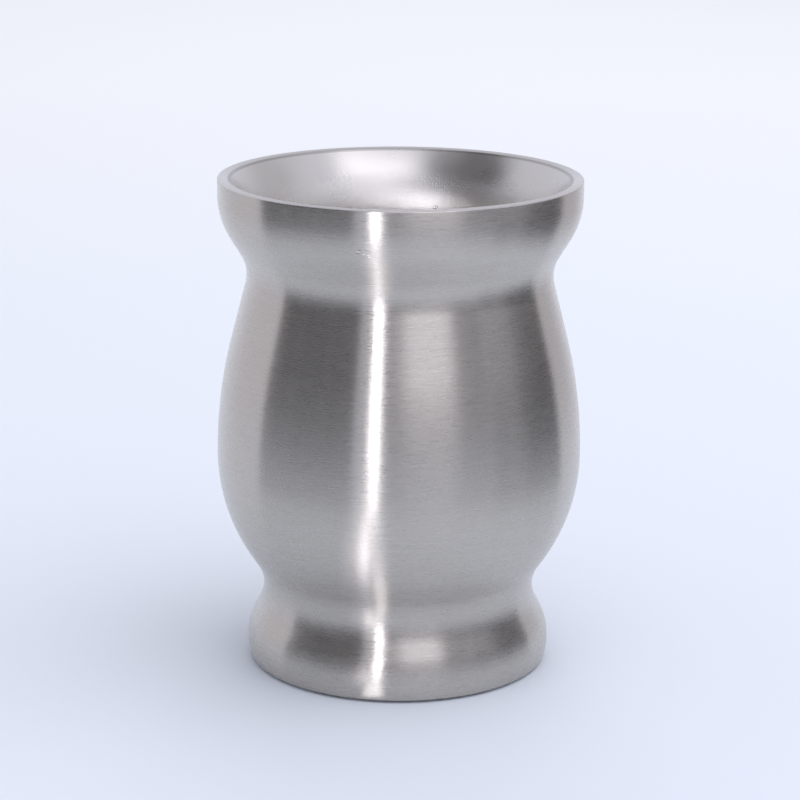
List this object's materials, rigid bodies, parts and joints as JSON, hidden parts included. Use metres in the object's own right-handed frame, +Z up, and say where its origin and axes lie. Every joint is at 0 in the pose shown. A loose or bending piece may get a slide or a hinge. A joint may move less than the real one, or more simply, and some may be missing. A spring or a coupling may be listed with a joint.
{
  "type": "mate cup",
  "caption": "Double-walled steel mate cup with a flared collar, a bulging belly, a waisted foot and a funnel-mouthed inner cup welded in at the lip.",
  "frame": {"origin": "centre of the standing ring, on the table", "axes": "+Z up along the cup's axis, towards the mouth"},
  "size_m": [0.078, 0.078, 0.1055],
  "materials": {
    "shell_steel": "fine brushing round the axis",
    "liner_steel": "satin, with a fine even grain",
    "base_steel": "satin, turned"
  },
  "bodies": {
    "root": {"outer_shell": "shell_steel", "inner_cup": "liner_steel", "base_plate": "base_steel"}
  },
  "joints": []
}
